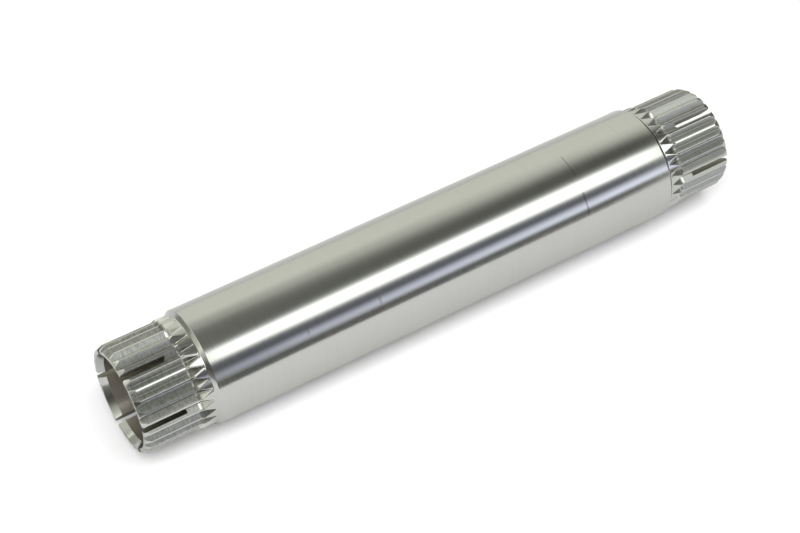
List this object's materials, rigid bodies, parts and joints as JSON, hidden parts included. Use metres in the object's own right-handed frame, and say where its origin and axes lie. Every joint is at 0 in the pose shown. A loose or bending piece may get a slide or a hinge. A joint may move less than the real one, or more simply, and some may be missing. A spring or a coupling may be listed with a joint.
{
  "type": "crank spindle",
  "caption": "Turned aluminium crank spindle: a straight tube whose stepped-down ends have V splines, saw slits and bevelled mouths, to clamp inside crank arms.",
  "frame": {"origin": "centre of the lower end face, on the spindle's axis", "axes": "+Z along the spindle's axis, up from the end it stands on; +X through the middle of a slit"},
  "size_m": [0.03, 0.03, 0.1715],
  "materials": {
    "turned_aluminium": "bright turned, with fine lathe lines round the body and milled groove flanks"
  },
  "bodies": {
    "root": {"spindle": "turned_aluminium"}
  },
  "joints": []
}
